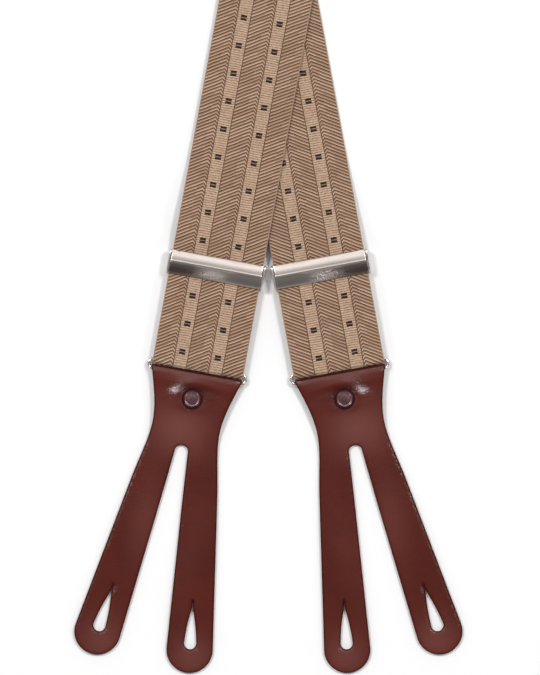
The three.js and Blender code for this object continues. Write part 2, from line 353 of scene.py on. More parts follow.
def crossSection():
    # Columns round the webbing, front first: (x, kind of the face to the right, kind of the rib here, climb)
    points = []
    x, climb, before = -halfWidth, 0, None
    for kind, width, columns, rise in bands:
        for column in range(columns):
            ribKind = kind
            if column == 0 and "selvedge" in (kind, before):
                ribKind = "twill"
            elif column == 0 and kind == "outline":
                ribKind = before
            points.append((x + column * width * mm / columns, kind, ribKind, climb + rise * column / columns))
        x += width * mm
        climb += rise
        before = kind
    points.append((halfWidth, "wall", "edge", climb))
    for step in range(3):
        kind = "wall" if step == 2 else "back"
        points.append((halfWidth * (1 - step), kind, "back", climb * (1 - step / 2)))
    return points


def ribHeight(kind, row, atEdge):
    if atEdge or kind == "edge":
        return -2.1
    if kind == "outline":
        return -1.4
    if kind == "twill":
        return (-1, 0, -0.12)[row % 3]
    return -0.5 if kind in plainWeave and row % 2 == 0 else 0


def faceYarn(kind, row, climb):
    if kind == "twill":
        return ("brown", "tan", "shade")[row % 3]
    if kind in plainWeave:
        across = (row + round(climb)) % webbing["rows"]
        if kind == "dash" and across in webbing["dashRows"]:
            return "dash"
        # One flank of each stripe rib is painted darker, as shade
        return "rib" if across % 2 == 0 else "light"
    return {"outline": "line", "selvedge": "edge", "wall": "edge"}.get(kind, "back")


def webbingTile():
    section = crossSection()
    around = len(section)
    clearSelection()
    bpy.ops.mesh.primitive_grid_add(x_subdivisions=around, y_subdivisions=webbing["rows"], size=1)
    tile = bpy.context.active_object
    mesh = tile.data
    co = coordinates(mesh)
    for index in range(len(co)):
        row, column = divmod(index, around + 1)
        x, _, kind, climb = section[column % around]
        level = row + climb
        height = ribHeight(kind, round(level) if kind in plainWeave else row, column in (0, around))
        if kind in plainWeave and round(level) % 2:
            level -= webbing["narrowed"]
        z = -halfThick if kind == "back" else halfThick + webbing["relief"] * height
        co[index] = (x, level * rowSize, z)
    setCoordinates(mesh, co)
    for material in yarnMaterials:
        mesh.materials.append(material)
    for face in mesh.polygons:
        row, column = divmod(face.index, around)
        _, kind, _, climb = section[column]
        face.material_index = yarnSlots[faceYarn(kind, row, climb)][0]
    with editing(tile):
        bpy.ops.mesh.remove_doubles(threshold=webbing["weld"])
    tile.name = "webbing_repeat"
    return tile


def flatWebbing(tile, name, low, high, dashAt):
    # A flat length from low to high along Y, with a pair of dashes centred at dashAt
    repeat = webbing["repeat"]
    overhang = sum(rise for _, _, _, rise in bands) * rowSize
    first = math.floor((low - overhang - dashAt) / repeat) - 1
    start = dashAt - webbing["dashMiddle"] * rowSize + first * repeat
    strip = copied(tile, name)
    applied(strip, "ARRAY", count=math.ceil((high - start) / repeat) + 1, use_relative_offset=False,
            use_constant_offset=True, constant_offset_displace=(0, repeat, 0), use_merge_vertices=True,
            merge_threshold=webbing["weld"])
    strip.location.y = start
    settled(strip)
    with editing(strip):
        for level, direction in ((low, -1), (high, 1)):
            bpy.ops.mesh.select_all(action="SELECT")
            bpy.ops.mesh.bisect(plane_co=(0, level, 0), plane_no=(0, direction, 0), use_fill=True,
                                clear_outer=True)
        bpy.ops.mesh.select_all(action="SELECT")
        bpy.ops.mesh.remove_doubles(threshold=2 * webbing["weld"])
        bpy.ops.mesh.normals_make_consistent(inside=False)
    shadeRibs(strip.data)
    co = coordinates(strip.data)
    patternMap(strip.data, "flat", co[:, :2])
    random = np.random.RandomState(webbing["seed"])
    inside = (co[:, 1] > low + rowSize) & (co[:, 1] < high - rowSize)
    co += random.normal(0, webbing["wander"], co.shape) * inside[:, None] * (0.6, 0.8, 0.8)
    x, y = co[:, 0] / mm, co[:, 1] / mm
    waves = np.sin(x / 0.43 + 1.4 * np.sin(y / 2.9)) + np.sin(x / 1.3 + y / 2.2)
    co[:, 1] += webbing["waves"] * waves * inside
    setCoordinates(strip.data, co)
    return strip


def shadeRibs(mesh):
    # A twill rib keeps one shade of its yarn all along; in the stripes and outlines every face has its own
    slots = valuesOf(mesh.polygons, "material_index", kind=int)
    x, y, _ = valuesOf(mesh.polygons, "center", 3).T
    front = crossSection()[: sum(columns for _, _, columns, _ in bands) + 1]
    climbs = np.interp(x, [p[0] for p in front], [p[3] for p in front])
    rib = np.floor((y / rowSize - climbs) / 3).astype(int)
    band = np.floor((x + halfWidth) / (5 * mm)).astype(int)
    steady = np.random.RandomState(webbing["seed"]).randint(0, 60, (4096, 16))[rib % 4096, band % 16]
    broken = np.random.RandomState(webbing["seed"]).randint(0, 60, len(slots))
    for yarnName, (first, shades) in yarnSlots.items():
        mine = slots == first
        chosen = broken if yarnName in ("light", "rib", "line") else steady
        slots[mine] += chosen[mine] % shades
    mesh.polygons.foreach_set("material_index", slots)


def lengthsAlong(points):
    return np.concatenate([[0], np.cumsum(np.linalg.norm(np.diff(points, axis=0), axis=1))])


def pathThrough(points, sides):
    points, sides = np.array(points, float), np.array(sides, float)
    s = lengthsAlong(points)
    tangent = np.gradient(points, s, axis=0)
    tangent /= np.linalg.norm(tangent, axis=1)[:, None]
    return {"s": s, "point": points, "side": sides, "out": np.cross(sides, tangent)}


def readAt(path, name, at):
    return np.stack([np.interp(at, path["s"], column) for column in path[name].T], -1)


def layAlong(obj, path):
    co = coordinates(obj.data)
    point, side, out = (readAt(path, name, co[:, 1]) for name in ("point", "side", "out"))
    setCoordinates(obj.data, point + co[:, :1] * side + co[:, 2:] * out)
    return obj


# Runs of the webbing, along the strap from the ring line: the same plan and heights as the frame

run = {
    "bowRadius": 1800 * mm,
    "ringToCrossing": -endPlace.x / math.sin(tilt),
    "loopEnd": 6.15 * mm,
    "foldMiddle": 1.6 * mm,
    "offRing": 6 * mm,                          # the front run is level to here
    "loopFall": (6 * mm, 34 * mm),
    "frontRun": 3.6 * mm,
    "frontFall": (44 * mm, 96 * mm),
    "overStrap": 1.75 * mm,
    "overRise": (48.6 * mm, 58 * mm),
    "overFall": (306 * mm, 360 * mm),
    "inYoke": 1.8 * mm,
    "inYokeUpper": 3.3 * mm,
    "yokeRise": (-60 * mm, -4 * mm),            # these three from the yoke's mouth
    "overAgain": (-110 * mm, -72 * mm),
    "yokeSeat": (-40 * mm, 0),
    "strapEnd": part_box("left_strap")[1].y - 0.6 * mm,
}
across = Vector((math.cos(tilt), -math.sin(tilt), 0))
crossingY = endPlace.y + run["ringToCrossing"] * math.cos(tilt)
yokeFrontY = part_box("yoke_front")[0].y
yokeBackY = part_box("yoke_front")[1].y


def planAt(along):
    past = along - run["ringToCrossing"]
    heading = tilt - np.maximum(past, 0) / run["bowRadius"]
    x = np.where(past > 0, run["bowRadius"] * (np.cos(heading) - math.cos(tilt)), past * math.sin(tilt))
    y = np.where(past > 0, run["bowRadius"] * (math.sin(tilt) - np.sin(heading)), past * math.cos(tilt))
    return x, y + crossingY, heading


def alongAtY(y):
    sine = math.sin(tilt) - (y - crossingY) / run["bowRadius"]
    return run["ringToCrossing"] + run["bowRadius"] * (tilt - math.asin(sine))


atYoke = alongAtY(yokeFrontY)


def lowerHeight(along):
    fromLoop = (ringHeight + 1 * mm - run["frontRun"]) * (1 - ease(along, *run["loopFall"]))
    down = run["frontRun"] * (1 - ease(along, *run["frontFall"]))
    return fromLoop + down + run["inYoke"] * ease(along - atYoke, *run["yokeRise"])


def upperHeight(along):
    crossing = ease(along, *run["overRise"]) * (1 - ease(along, *run["overFall"]))
    back = ease(along - atYoke, *run["overAgain"])
    seat = run["inYokeUpper"] - run["inYoke"] - run["overStrap"]
    over = run["overStrap"] * (crossing + back) + seat * ease(along - atYoke, *run["yokeSeat"])
    return lowerHeight(along) + over


def upright(points):  # points drawn as (along the strap, height), on the strap's middle line
    return [endPlace + slideAxis * along + Vector((0, 0, height)) for along, height in points]


def roundRing(start, count):  # along the floor and round the ring's upper bar: (along, height)
    low = [(along, halfThick) for along in np.linspace(start, upperBar, count)[:-1]]
    return low + arcPoints((upperBar, ringHeight), run["foldMiddle"], -90, -270, 25)


def fromRing(points, sides, loop):
    # A place on the front run reads as its distance from the ring line
    path = pathThrough(points, sides)
    path["s"] += upperBar - path["s"][len(loop) - 1]
    return path


def frontStrapPath(heightAt):
    loop = roundRing(run["loopEnd"], 8)
    alongs = np.arange(upperBar + 1 * mm, alongAtY(run["strapEnd"]), 2 * mm)
    x, y, heading = planAt(alongs)
    heights = heightAt(np.maximum(alongs, run["offRing"])) + halfThick
    heights = np.where(alongs < run["offRing"], ringHeight + run["foldMiddle"], heights)
    points = upright(loop) + [Vector(p) for p in zip(x, y, heights)]
    sides = [across] * len(loop) + [Vector((math.cos(h), -math.sin(h), 0)) for h in heading]
    return fromRing(points, sides, loop)


# The strap's end, from its sewn tip over the adjuster's lower bar and back to the ring: (along, height)
returned = {
    "tip": [(25.8, 1.82), (33.5, 1.82), (35.2, 1.95), (37.6, 2.6)],
    "bar": (40.4, 1.75), "barRadius": 1.15,
    "back": [(37, 0.6), (20, 0.6), (6.4, 0.6)],
}


def returnPath():
    fold = arcPoints(returned["bar"], returned["barRadius"], 90, -90, 21)
    dense = closeSpaced(returned["tip"] + fold + returned["back"], 1, round)
    return pathThrough(upright([(along * mm, height * mm) for along, height in dense]), [across] * len(dense))


def backStrapPath():
    mouth = backPlace.y - yokeBackY
    loop = roundRing(24 * mm, 20)
    alongs = np.arange(upperBar + 1 * mm, mouth + 30 * mm, 1 * mm)
    overRing = 3.2 * mm * (1 - ease(alongs, 3 * mm, 14 * mm))
    overEnd = 1.28 * mm * (1 - ease(alongs, 24 * mm, 36 * mm))
    heights = np.maximum(overRing, overEnd) + run["inYoke"] * ease(alongs, mouth - 24 * mm, mouth - 4 * mm)
    drawn = loop + list(zip(alongs, heights + halfThick))
    points = [backPlace + Vector((0, -along, height)) for along, height in drawn]
    return fromRing(points, [Vector((-1, 0, 0))] * len(points), loop)


print("Weaving the webbing")
tile = webbingTile()


def woven(name, path, dashAt):
    low, high = path["s"][0], path["s"][-1]
    return layAlong(flatWebbing(tile, name, low, high, dashAt), path), (webbing["width"], high - low)


leftFront = woven("left_front_webbing", frontStrapPath(upperHeight), webbing["firstDash"])
rightFront = woven("right_front_webbing", frontStrapPath(lowerHeight), webbing["firstDash"])
facingOut(placed(rightFront[0], mirror))
leftReturn, returnSize = woven("left_return_webbing", returnPath(), 5 * mm)
rightReturn = mirrored(leftReturn, "right_return_webbing")
backWebbing, backSize = woven("back_webbing", backStrapPath(), 9 * mm)
bpy.data.objects.remove(tile)

# The webbing takes the place of the frame's straps, which are hidden: the front and return runs are baked in place,
# and the back run rides on the root
for side, (strap, size) in (("left", leftFront), ("right", rightFront)):
    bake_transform(strap)
    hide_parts(f"{side}_strap", f"{side}_strap_loop")
for side, strap in (("left", leftReturn), ("right", rightReturn)):
    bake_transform(strap)
    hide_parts(f"{side}_return_strap", f"{side}_strap_end")
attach(backWebbing, "root")
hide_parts("back_strap")


# Leather: cut flat from a pattern with rounded edges, and then laid over what it covers

leather = {"lattice": 1.5 * mm, "insets": (0.2 * mm, 0.6 * mm), "rounding": 0.6 * mm, "rimWidth": 1.6 * mm}


def bezierPoints(start, first, second, end, count):
    t = np.linspace(0, 1, count)[:, None]
    a, b, c, d = (np.array(p, float) for p in (start, first, second, end))
    return list(a * (1 - t) ** 3 + 3 * b * t * (1 - t) ** 2 + 3 * c * t * t * (1 - t) + d * t ** 3)


def circlePoints(x, y, radius):  # clockwise, as every hole is
    turns = np.linspace(0, -2 * math.pi, 24, endpoint=False)
    return [(x + radius * math.cos(t), y + radius * math.sin(t)) for t in turns]


def segmentsOf(loops):
    starts = np.concatenate(loops)
    ends = np.concatenate([np.roll(loop, -1, 0) for loop in loops])
    return starts, ends


def inwardBy(loop, inset):
    ahead = np.roll(loop, -1, 0) - np.roll(loop, 1, 0)
    ahead /= np.linalg.norm(ahead, axis=1)[:, None]
    return loop + inset * np.stack([-ahead[:, 1], ahead[:, 0]], 1)


def distanceTo(points, starts, ends):
    nearest = np.full(len(points), 1e9)
    for a, b in zip(starts, ends):
        ab = b - a
        t = np.clip(((points - a) @ ab) / max(ab @ ab, 1e-18), 0, 1)
        nearest = np.minimum(nearest, np.linalg.norm(points - a - t[:, None] * ab, axis=1))
    return nearest


def insideOf(points, starts, ends):
    inside = np.zeros(len(points), bool)
    x, y = points[:, 0], points[:, 1]
    for (ax, ay), (bx, by) in zip(starts, ends):
        if ay != by:
            crosses = (ay > y) != (by > y)
            inside ^= crosses & (x < (bx - ax) * (y - ay) / (by - ay) + ax)
    return inside


def cutLeather(name, loops, materials):
    # Outside loop first, anticlockwise, and then its holes. Its z is 1 on the grain side and -1 on the flesh side.
    loops = [np.array(loop, float) for loop in loops]
    starts, ends = segmentsOf(loops)
    points = [starts]
    for inset in leather["insets"]:
        for ring in (inwardBy(loop, inset) for loop in loops):
            points.append(ring[distanceTo(ring, starts, ends) > 0.9 * inset])
    low, high = starts.min(0), starts.max(0)
    step = leather["lattice"]
    lattice = np.array([(x + (step / 2 if row % 2 else 0), y)
                        for row, y in enumerate(np.arange(low[1], high[1], step * 0.866))
                        for x in np.arange(low[0], high[0], step)])
    deep = insideOf(lattice, starts, ends)
    deep[deep] = distanceTo(lattice[deep], starts, ends) > leather["rounding"] + 0.5 * mm
    points.append(lattice[deep])
    points = np.concatenate(points)
    edges, at = [], 0
    for loop in loops:
        edges += [(at + k, at + (k + 1) % len(loop)) for k in range(len(loop))]
        at += len(loop)
    flat, _, faces = delaunay_2d_cdt([Vector(p) for p in points], edges, [], 0, 1e-7)[:3]
    flat = np.array([tuple(v) for v in flat])
    faces = np.array([tuple(f) for f in faces])
    faces = faces[insideOf(flat[faces].mean(1), starts, ends)]
    a, b, c = (flat[faces[:, k]] for k in range(3))
    turned = np.cross(b - a, c - a) < 0
    faces[turned] = faces[turned][:, ::-1]
    used = np.unique(faces)
    order = np.full(len(flat), -1)
    order[used] = np.arange(len(used))
    flat, faces = flat[used], order[faces]
    depth = distanceTo(flat, starts, ends)
    rounded = 1 - 0.5 * (1 - np.clip(depth / leather["rounding"], 0, 1)) ** 2
    count = len(flat)
    sides = dict.fromkeys((face[k], face[(k + 1) % 3]) for face in faces for k in range(3))
    walls = [(a, b) for a, b in sides if (b, a) not in sides]
    verts = np.concatenate([np.column_stack([flat, rounded]), np.column_stack([flat, -rounded])])
    polygons = [tuple(f) for f in faces] + [tuple(f[::-1] + count) for f in faces]
    polygons += [(a, a + count, b + count, b) for a, b in walls]
    mesh = bpy.data.meshes.new(name)
    mesh.from_pydata(verts.tolist(), [], [tuple(int(v) for v in f) for f in polygons])
    for material in materials:
        mesh.materials.append(material)
    slots = [0] * len(faces) + [2] * len(faces) + [1] * len(walls)
    mesh.polygons.foreach_set("material_index", slots)
    attribute(mesh, "rim", np.tile(1 - np.clip(depth / leather["rimWidth"], 0, 1), 2))
    return linked(name, mesh)


def leatherGrain(name, body, deep, paleWearAndSheen, rimColour):
    mat, tree = newMaterial(name)
    place = mapped(tree)
    speck = noise(tree, place, 900, 3, 0.7)
    rim, wearAndPaintedLight = attributeOf(tree, "rim"), attributeOf(tree, "wearAndPaintedLight")
    cloud = remapped(tree, noise(tree, place, 55, 4, 0.55), 0.3, 0.7)
    colour = blendOf(tree, cloud, linear(*body), linear(*deep))
    # Tints over the random tone: specks, pale wear with painted sheen and highlight, painted shade, and dark
    # burnished edges
    for factor, tint in (
            (remapped(tree, speck, 0.35, 0.75, 0, 0.35), deep),
            (remapped(tree, wearAndPaintedLight, 0, 1, 0, 0.8), paleWearAndSheen),
            (remapped(tree, wearAndPaintedLight, 0, -1, 0, 0.85), [c * 0.55 for c in deep]),
            (remapped(tree, rim, 0.45, 1, 0, 0.85), rimColour)):
        colour = blendOf(tree, factor, colour, linear(*tint))
    pores = node(tree, "ShaderNodeTexVoronoi", vector=place, scale=1800).outputs["Distance"]
    creases = remapped(tree, noise(tree, place, 1300, 3, 0.6), 0, 1, 0, 0.7)
    pitted = combined(tree, "ADD", remapped(tree, pores, 0, 0.6, 0, 0.6), creases)
    return shaded(mat, {
        "Base Color": colour, "Roughness": remapped(tree, speck, 0.3, 0.7, 0.4, 0.52), "Specular IOR Level": 0.06,
        "Coat Weight": remapped(tree, rim, 0.1, 0.75, 0.85, 0), "Coat Roughness": 0.18,
        **bumps(tree, pitted, 0.7, 0.08 * mm)})


def leatherPlain(name, body, deep, roughness, scale):
    mat, tree = newMaterial(name)
    fibre = noise(tree, mapped(tree), scale, 4, 0.7)
    return shaded(mat, {
        "Base Color": blendOf(tree, remapped(tree, fibre, 0.35, 0.65), linear(*body), linear(*deep)),
        "Roughness": remapped(tree, fibre, 0.3, 0.7, roughness - 0.1, roughness + 0.1),
        **bumps(tree, fibre, 0.6, 0.15 * mm)})


tabLeather = [  # grain side, cut edge, flesh side
    leatherGrain("tabGrainLeather", (86, 28, 17), (74, 22, 14), (122, 74, 68), (42, 16, 13)),
    leatherPlain("leatherCutEdge", (86, 40, 30), (140, 92, 62), 0.7, 700),
    leatherPlain("leatherFleshSide", (142, 98, 72), (118, 76, 54), 0.85, 1400),
]

# Leather tabs, drawn with the fold at Y = 0 and the legs towards -Y, in mm

tab = {
    "foldHalf": 19,
    "atFold": 1.3,                     # straight past the fold, to each side
    "waist": (14.1, -22.5),
    "hip": (18.3, -49),
    "legEnd": (19.4, -113.2),
    "legRadius": 9.57,
    "legTurn": (9.56, -174.45),
    "crotch": (0, -33.6),
    "crotchRadius": 2.75,
    "flapEnd": 19,
    "flapCorner": 1.8,
    "rivetAt": 11.4,
    "rivetHole": 1.7,
    "slitTip": (16.72, -92.9),
    "holeTip": (17.1, -95.5),
    "holeCentre": (19.1, -110.5),
    "holeRadius": 2.5,
    "slitHalf": 0.16,
    "frontLean": -0.85,                # degrees
    "steady": -3.2,                    # the fold keeps its shape from here
    # The leather's middle from the leg ends over the ring to the flap's end: (y, z, thickness)
    "front": [(-126, 0.97, 1.9), (-33, 0.97, 1.9), (-30, 1.02, 1.9), (-27, 1.36, 1.85), (-23, 2.1, 1.7),
              (-19, 2.82, 1.5), (-15, 3.02, 1.45), (-8, 3.03, 1.42), (-5, 3.34, 1.25), (-3.6, 3.56, 1.1)],
    "foldAt": (-2.025, 2.2),
    "foldRadius": 1.45,
    "flap": [(-3.6, 0.9, 1.1), (-5, 1.2, 1.2), (-6.5, 1.5, 1.3), (-9, 1.55, 1.38), (-20.5, 1.55, 1.38)],
}


def tabPath():
    fold = [(y, z, 1.0) for y, z in arcPoints(tab["foldAt"], tab["foldRadius"], 90, -90, 25)]
    dense = np.array(closeSpaced(tab["front"] + fold + tab["flap"], 0.3, round))
    steady = dense[:, 0] > tab["steady"]
    for _ in range(40):
        soft = dense.copy()
        soft[1:-1, 1:] = (dense[:-2, 1:] + 2 * dense[1:-1, 1:] + dense[2:, 1:]) / 4
        soft[steady] = dense[steady]
        dense = soft
    places = np.column_stack([np.zeros(len(dense)), dense[:, 0], dense[:, 1]]) * mm
    path = pathThrough(places, [(1, 0, 0)] * len(dense))
    path["apex"] = np.argmax(dense[:, 0])
    path["s"] -= path["s"][path["apex"]]
    path["thick"] = dense[:, 2] * mm
    return path


def tabOutline(lean, path):
    foldHalf, flapEnd, rounding = tab["foldHalf"], tab["flapEnd"], tab["flapCorner"]
    edge = bezierPoints((foldHalf, -0.5), (17.2, -7), (14.3, -15), tab["waist"], 26)
    edge += bezierPoints(tab["waist"], (13.9, -30), (16.4, -38), tab["hip"], 26)[1:]
    legTip = arcPoints(tab["legEnd"], tab["legRadius"], *tab["legTurn"], 34)
    inner = bezierPoints((4.5, -55), (3.9, -48), (3.3, -41), (2.75, -34), 22)
    inner += arcPoints(tab["crotch"], tab["crotchRadius"], 0, 90, 9)
    half = [p for p in closeSpaced(edge + legTip + inner, 1.0) if p[1] < -2 * tab["atFold"]]
    flap = [(x, -y) for x, y in edge if -flapEnd + rounding < y < -2 * tab["atFold"]][::-1]
    corner = arcPoints((flap[0][0] - rounding, flapEnd - rounding), rounding, 90, 8, 6)
    flap = [(x, flapEnd) for x in np.linspace(0, corner[0][0], 9)[:-1]] + corner + flap

    def leant(points, side=1):
        made = []
        for x, y in points:
            turn = math.radians(lean if y < 0 else -lean)
            sine, cosine = math.sin(turn), math.cos(turn)
            made.append((side * x * cosine - y * sine, side * x * sine + y * cosine))
        return made

    def halfOutline(side):
        atFold = [(side * foldHalf, y) for y in (tab["atFold"], 0, -tab["atFold"])]
        return leant(flap, side) + atFold + leant(half, side)

    outside = (halfOutline(1) + halfOutline(-1)[::-1][1:-1])[::-1]
    rivetHoles = [circlePoints(0, side * tab["rivetAt"], tab["rivetHole"]) for side in (-1, 1)]
    loops = [outside] + rivetHoles + [leant(buttonhole(side)) for side in (-1, 1)]
    return [flatOnPath(loop, path) for loop in loops]


def buttonhole(side):  # a drop with a slit above it
    tip, slit, centre = (np.multiply(tab[name], (side, 1)) for name in ("holeTip", "slitTip", "holeCentre"))
    down = (centre - tip) / np.linalg.norm(centre - tip)
    left = np.array((-down[1], down[0]))
    turn = math.atan2(left[1], left[0])
    arc = [centre + tab["holeRadius"] * np.array((math.cos(turn - t), math.sin(turn - t)))
           for t in np.linspace(-0.1, math.pi + 0.1, 17)]

    def flank(end, out, shares):
        return [tip + (end - tip) * t + left * out * math.sin(math.pi * t) for t in shares]

    neck = tab["slitHalf"] * left
    drop = [slit, tip + neck] + flank(arc[0], 0.35, np.linspace(0.12, 0.9, 9)) + arc
    drop += flank(arc[-1], -0.35, np.linspace(0.9, 0.12, 9)) + [tip - neck]
    area = sum(a[0] * b[1] - b[0] * a[1] for a, b in zip(drop, drop[1:] + drop[:1]))
    return drop if area < 0 else drop[::-1]


def flatOnPath(loop, path):
    # A place drawn in plan becomes a place on the uncut leather; the flap, drawn past the fold, lies underneath
    apex, s, y = path["apex"], path["s"], path["point"][:, 1]
    made = []
    for x, drawn in loop:
        if abs(drawn) <= 2.3:
            along = drawn * mm
        elif drawn < 0:
            along = np.interp(drawn * mm, y[: apex + 1], s[: apex + 1])
        else:
            along = np.interp(drawn * mm, -y[apex:], s[apex:])
        made.append((x * mm, along))
    return made


def hump(x, y, atX, atY, wideX, wideY):
    return np.exp(-((x - atX) / wideX) ** 2 - ((y - atY) / wideY) ** 2)


# Where the grain side swells beside the rivet, and where its colour is paled or darkened by wear and by painted
# light: strength, middle and reach, in mm
swellings = [(2.0, -3.0, -10.6, 5.4, 4.6), (0.5, 7, -11, 5, 4)]
# Paled: the body under the rivet by wear and painted sheen, the legs by wear, and a band under the top edge as a
# painted highlight
wearAndPaintedLightPlaces = [(0.8, -3, -24, 13, 10), (0.1, 10, -70, 6, 22), (0.3, -10, -64, 6, 18), (0.4, 0, -3.8, 17, 1.6),
              # Darkened: painted shade in the crease above the rivet and under the rivet's lower edge
              (-0.9, 0, -7.6, 6.5, 2.3), (-0.4, 0, -15.6, 5, 1.5)]


def humps(x, y, places):
    return sum(strength * hump(x, y, *place) for strength, *place in places)


def tabRelief(x, y):
    # How far the grain side stands out or in, in mm, at a place in plan
    away = np.hypot(x, y + tab["rivetAt"])
    pressed = -0.25 * np.exp(-((away - 4.3) / 0.9) ** 2)
    swell = humps(x, y, swellings) * (0.08 + 0.92 * ease(away, 3.6, 5.4)) * (1 - 0.65 * ease(x, -1, 5))
    crease = -0.3 * hump(x, y, 1, -7.0 + 0.05 * x, 9, 1.2) + 0.16 * hump(x, y + 0.012 * x * x, 2, -4.9, 13, 0.8)
    rolled = 0.1 * np.sin(y / 9) * np.cos(x / 7)
    return pressed + swell + crease + rolled


def leatherTab(name, lean):
    path = tabPath()
    obj = cutLeather(name, tabOutline(lean, path), tabLeather)
    co = coordinates(obj.data)
    thick = np.interp(co[:, 1], path["s"], path["thick"])
    x, y = co[:, 0] / mm, readAt(path, "point", co[:, 1])[:, 1] / mm
    front = co[:, 1] < 0
    # Wear and painted light on the front: pale wear, painted sheen and highlight, painted shade, and paler leg ends
    # by wear
    wearAndPaintedLight = humps(x, y, wearAndPaintedLightPlaces) + 0.5 * hump(np.abs(x), y, 19, -116, 9, 9)
    attribute(obj.data, "wearAndPaintedLight", np.where(front, wearAndPaintedLight, 0))
    relief = tabRelief(x, y) * mm * (front & (co[:, 2] > 0)) * ease(-co[:, 1], 1.5 * mm, 4 * mm)
    co[:, 2] = co[:, 2] * thick / 2 + relief
    setCoordinates(obj.data, co)
    return smoothed(layAlong(obj, path), 40)


print("Cutting the leather tabs")
tabs = {"left": placed(leatherTab("left_leather_tab", tab["frontLean"]), endMatrix)}
tabs["right"] = mirrored(tabs["left"], "right_leather_tab")
tabs["back"] = placed(leatherTab("back_leather_tab", 0), backMatrix)
for side, piece in tabs.items():
    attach(piece, f"{side}_tab")
    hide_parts(f"{side}_tab")

# Metal: adjusters, rings and rivets

def metalMaterial(name, body, dark, roughness, grainScale):
    mat, tree = newMaterial(name)
    cloud = noise(tree, mapped(tree), 160, 4, 0.6)
    grain = noise(tree, mapped(tree, "Object", grainScale), 1, 3, 0.7)
    return shaded(mat, {
        "Base Color": blendOf(tree, remapped(tree, cloud, 0.35, 0.7, 0, 0.6), linear(*body), linear(*dark)),
        "Roughness": remapped(tree, grain, 0.3, 0.7, roughness - 0.07, roughness + 0.1), "Metallic": 1,
        **bumps(tree, grain, 0.25, 0.03 * mm)})


def leverMaterial():
    # Brushed nickel: bright above its crease; below it a painted dark reflection, deeper towards the outer end,
    # with scuffs in the middle of that lower half
    mat, tree = newMaterial("brushedNickelPlate")
    brushed = noise(tree, mapped(tree, "across", (60, 2400, 1)), 1, 4, 0.6)
    specks = remapped(tree, noise(tree, mapped(tree), 2300, 3, 0.8), 0.46, 0.56)
    scuffs = combined(tree, "MULTIPLY", specks, attributeOf(tree, "scuffed"))
    colour = blendOf(tree, remapped(tree, brushed, 0.3, 0.7), linear(214, 203, 196), linear(172, 161, 155))
    # Painted dark reflection on the plate's lower half
    colour = blendOf(tree, attributeOf(tree, "dull"), colour, linear(120, 105, 99))
    marks = combined(tree, "ADD", remapped(tree, brushed, 0, 1, 0, 0.06), scuffs)
    return shaded(mat, {
        "Base Color": blendOf(tree, scuffs, colour, linear(206, 192, 188)), "Metallic": 1,
        "Roughness": remapped(tree, brushed, 0.3, 0.7, 0.26, 0.38), **bumps(tree, marks, 0.7, 0.06 * mm)})


nickel = metalMaterial("nickelFrame", (228, 220, 216), (190, 182, 178), 0.32, (300, 300, 1800))
wireSteel = metalMaterial("ringWire", (226, 218, 214), (176, 168, 164), 0.2, (900, 900, 900))
rivetBronze = metalMaterial("rivetBronze", (150, 114, 117), (104, 74, 77), 0.25, (3200, 3200, 3200))
# A darker copy of the rivet's metal: painted shade for the dome's outer shoulder
rivetRimPaintedShade = metalMaterial("rivetRimPaintedShade", (70, 40, 42), (48, 26, 28), 0.4, (1500, 1500, 1500))
leverNickel = leverMaterial()


def pushedOut(name, points, low, high):
    # A side view drawn in Y and Z, in mm, pushed out along X
    clearSelection()
    bpy.ops.mesh.primitive_circle_add(vertices=len(points), radius=1, fill_type="NGON")
    obj = named(name)
    setCoordinates(obj.data, [(low * mm, y * mm, z * mm) for y, z in points])
    with editing(obj):
        bpy.ops.mesh.extrude_region_move(TRANSFORM_OT_translate={"value": ((high - low) * mm, 0, 0)})
    return facingOut(obj)


def bevelled(obj, width, segments=3, degrees=30):
    return applied(obj, "BEVEL", width=width * mm, segments=segments, limit_method="ANGLE",
                   angle_limit=math.radians(degrees))


def roundedCorners(corners, radius, count=5):
    # The outline with each corner drawn as an arc of this radius, or its own third number
    made = []
    for k, corner in enumerate(corners):
        size = corner[2] if len(corner) > 2 else radius
        here = np.array(corner[:2], float)
        before = np.array(corners[k - 1][:2], float) - here
        after = np.array(corners[(k + 1) % len(corners)][:2], float) - here
        reach = min(size, 0.48 * np.linalg.norm(before), 0.48 * np.linalg.norm(after))
        a = here + before / np.linalg.norm(before) * reach
        b = here + after / np.linalg.norm(after) * reach
        for t in np.linspace(0, 1, count):
            made.append(tuple(a * (1 - t) ** 2 + 2 * here * t * (1 - t) + b * t * t))
    return made


adjuster = {
    "at": 43.0,                       # along the strap from the ring line, mm
    "earInner": 19.35, "earOuter": 20.2,
    "leverHalf": 19.05,
    "lastCut": 18.75,                 # the plate is cut across between here and its mirror image
    "barrel": 1.05,
    "pin": 0.45,
    "pinHead": 0.75,
    "headOut": 0.16,
    "crown": 0.06,
    "bars": [(-4.3, -2.5, 1.35, 2.15), (1.0, 4.6, 2.3, 3.2)],
    # Side views (y, z): the ear, with the radius of each corner that is not 0.5, and the plate
    "ear": [(-5.2, 1.2), (-4.6, 0.9), (4.2, 0.9), (4.8, 1.6), (5.0, 5.6), (4.7, 6.6, 1), (3.9, 6.9, 0.8),
            (2.4, 6.85, 1), (-4.0, 6.2, 1), (-5.2, 5.3, 1)],
    "plate": [(2.72, 5.5), (2.55, 4.95), (2.1, 4.95), (1.7, 5.7), (0.4, 6.05), (-2.4, 5.72), (-4, 5.3),
              (-4.55, 4.97), (-4.85, 5.0), (-4.96, 5.25), (-4.9, 5.55), (-4.65, 5.86), (-4.2, 6.06),
              (-2.6, 6.44), (-0.9, 6.72), (-0.2, 6.76), (0.05, 6.93), (0.3, 7.02), (0.55, 7.0), (0.75, 6.96),
              (1.1, 6.96), (1.6, 6.95), (2.2, 6.92), (2.8, 6.86), (3.3, 6.78), (3.8, 6.67)],
}
